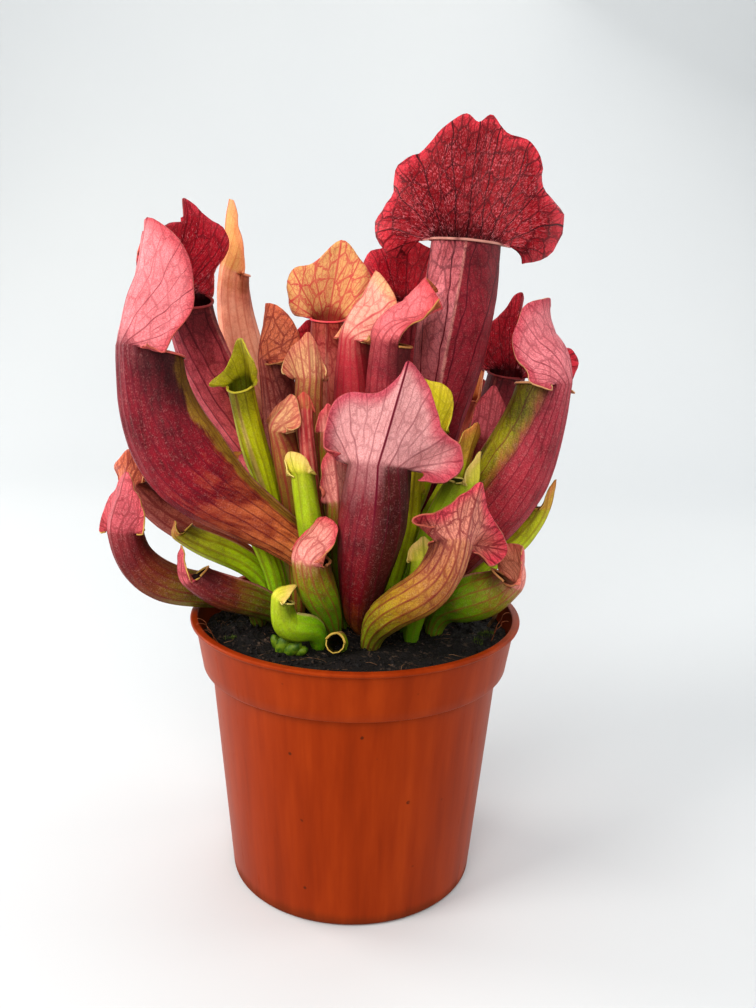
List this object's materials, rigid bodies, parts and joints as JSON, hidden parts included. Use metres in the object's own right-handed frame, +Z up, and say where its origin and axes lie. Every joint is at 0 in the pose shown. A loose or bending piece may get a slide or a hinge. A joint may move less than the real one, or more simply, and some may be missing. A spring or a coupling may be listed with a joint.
{
  "type": "potted carnivorous plant",
  "caption": "Trumpet pitcher plant in a round plastic nursery pot: a crown of hollow pitcher leaves with wavy hoods standing in dark soil.",
  "frame": {"origin": "centre of the pot's flat underside", "axes": "+Z up out of the pot, +X to the right and +Y to the back as the plant is seen from its front"},
  "size_m": [0.1316, 0.103, 0.2096],
  "materials": {
    "terracotta_plastic": "satin",
    "peat": "matt, crumbly",
    "pitcher_tall": "satin",
    "pitcher_behind_tall": "satin",
    "pitcher_left_large": "satin",
    "pitcher_left_back": "satin",
    "pitcher_peach": "satin",
    "pitcher_amber": "satin",
    "pitcher_rose": "satin",
    "pitcher_salmon": "satin",
    "pitcher_rust": "satin",
    "pitcher_striped": "satin",
    "pitcher_lime": "satin",
    "pitcher_tan": "satin",
    "pitcher_front": "satin",
    "pitcher_front_right": "satin",
    "pitcher_right_large": "satin",
    "pitcher_right_back": "satin",
    "pitcher_peach_slip": "satin",
    "pitcher_left_low": "satin",
    "pitcher_left_rear_low": "satin",
    "pitcher_left_lying": "satin",
    "pitcher_front_left": "satin",
    "pitcher_green_curl": "satin",
    "pitcher_right_low": "satin",
    "pitcher_yellow": "satin",
    "pitcher_olive": "satin",
    "pitcher_dusky": "satin",
    "pitcher_dried_tip": "satin",
    "pitcher_green_mid": "satin",
    "pitcher_pale_green": "satin",
    "pitcher_peach_fold": "satin",
    "pitcher_green_left": "satin",
    "pitcher_green_far_left": "satin",
    "pitcher_green_right": "satin",
    "pitcher_orange": "satin",
    "pitcher_peach_small": "satin",
    "pitcher_green_low": "satin",
    "pitcher_cut_stub": "satin",
    "pitcher_rear_mid": "satin",
    "pitcher_rear_right": "satin",
    "pitcher_rear_left": "satin",
    "pitcher_rear_low": "satin"
  },
  "bodies": {
    "root": {"pot": "terracotta_plastic", "soil": "peat", "pitcher_tall": "pitcher_tall", "pitcher_behind_tall": "pitcher_behind_tall", "pitcher_left_large": "pitcher_left_large", "pitcher_left_back": "pitcher_left_back", "pitcher_peach": "pitcher_peach", "pitcher_amber": "pitcher_amber", "pitcher_rose": "pitcher_rose", "pitcher_salmon": "pitcher_salmon", "pitcher_rust": "pitcher_rust", "pitcher_striped": "pitcher_striped", "pitcher_lime": "pitcher_lime", "pitcher_tan": "pitcher_tan", "pitcher_front": "pitcher_front", "pitcher_front_right": "pitcher_front_right", "pitcher_right_large": "pitcher_right_large", "pitcher_right_back": "pitcher_right_back", "pitcher_peach_slip": "pitcher_peach_slip", "pitcher_left_low": "pitcher_left_low", "pitcher_left_rear_low": "pitcher_left_rear_low", "pitcher_left_lying": "pitcher_left_lying", "pitcher_front_left": "pitcher_front_left", "pitcher_green_curl": "pitcher_green_curl", "pitcher_right_low": "pitcher_right_low", "pitcher_yellow": "pitcher_yellow", "pitcher_olive": "pitcher_olive", "pitcher_dusky": "pitcher_dusky", "pitcher_dried_tip": "pitcher_dried_tip", "pitcher_green_mid": "pitcher_green_mid", "pitcher_pale_green": "pitcher_pale_green", "pitcher_peach_fold": "pitcher_peach_fold", "pitcher_green_left": "pitcher_green_left", "pitcher_green_far_left": "pitcher_green_far_left", "pitcher_green_right": "pitcher_green_right", "pitcher_orange": "pitcher_orange", "pitcher_peach_small": "pitcher_peach_small", "pitcher_green_low": "pitcher_green_low", "pitcher_cut_stub": "pitcher_cut_stub", "pitcher_rear_mid": "pitcher_rear_mid", "pitcher_rear_right": "pitcher_rear_right", "pitcher_rear_left": "pitcher_rear_left", "pitcher_rear_low": "pitcher_rear_low"}
  },
  "joints": []
}
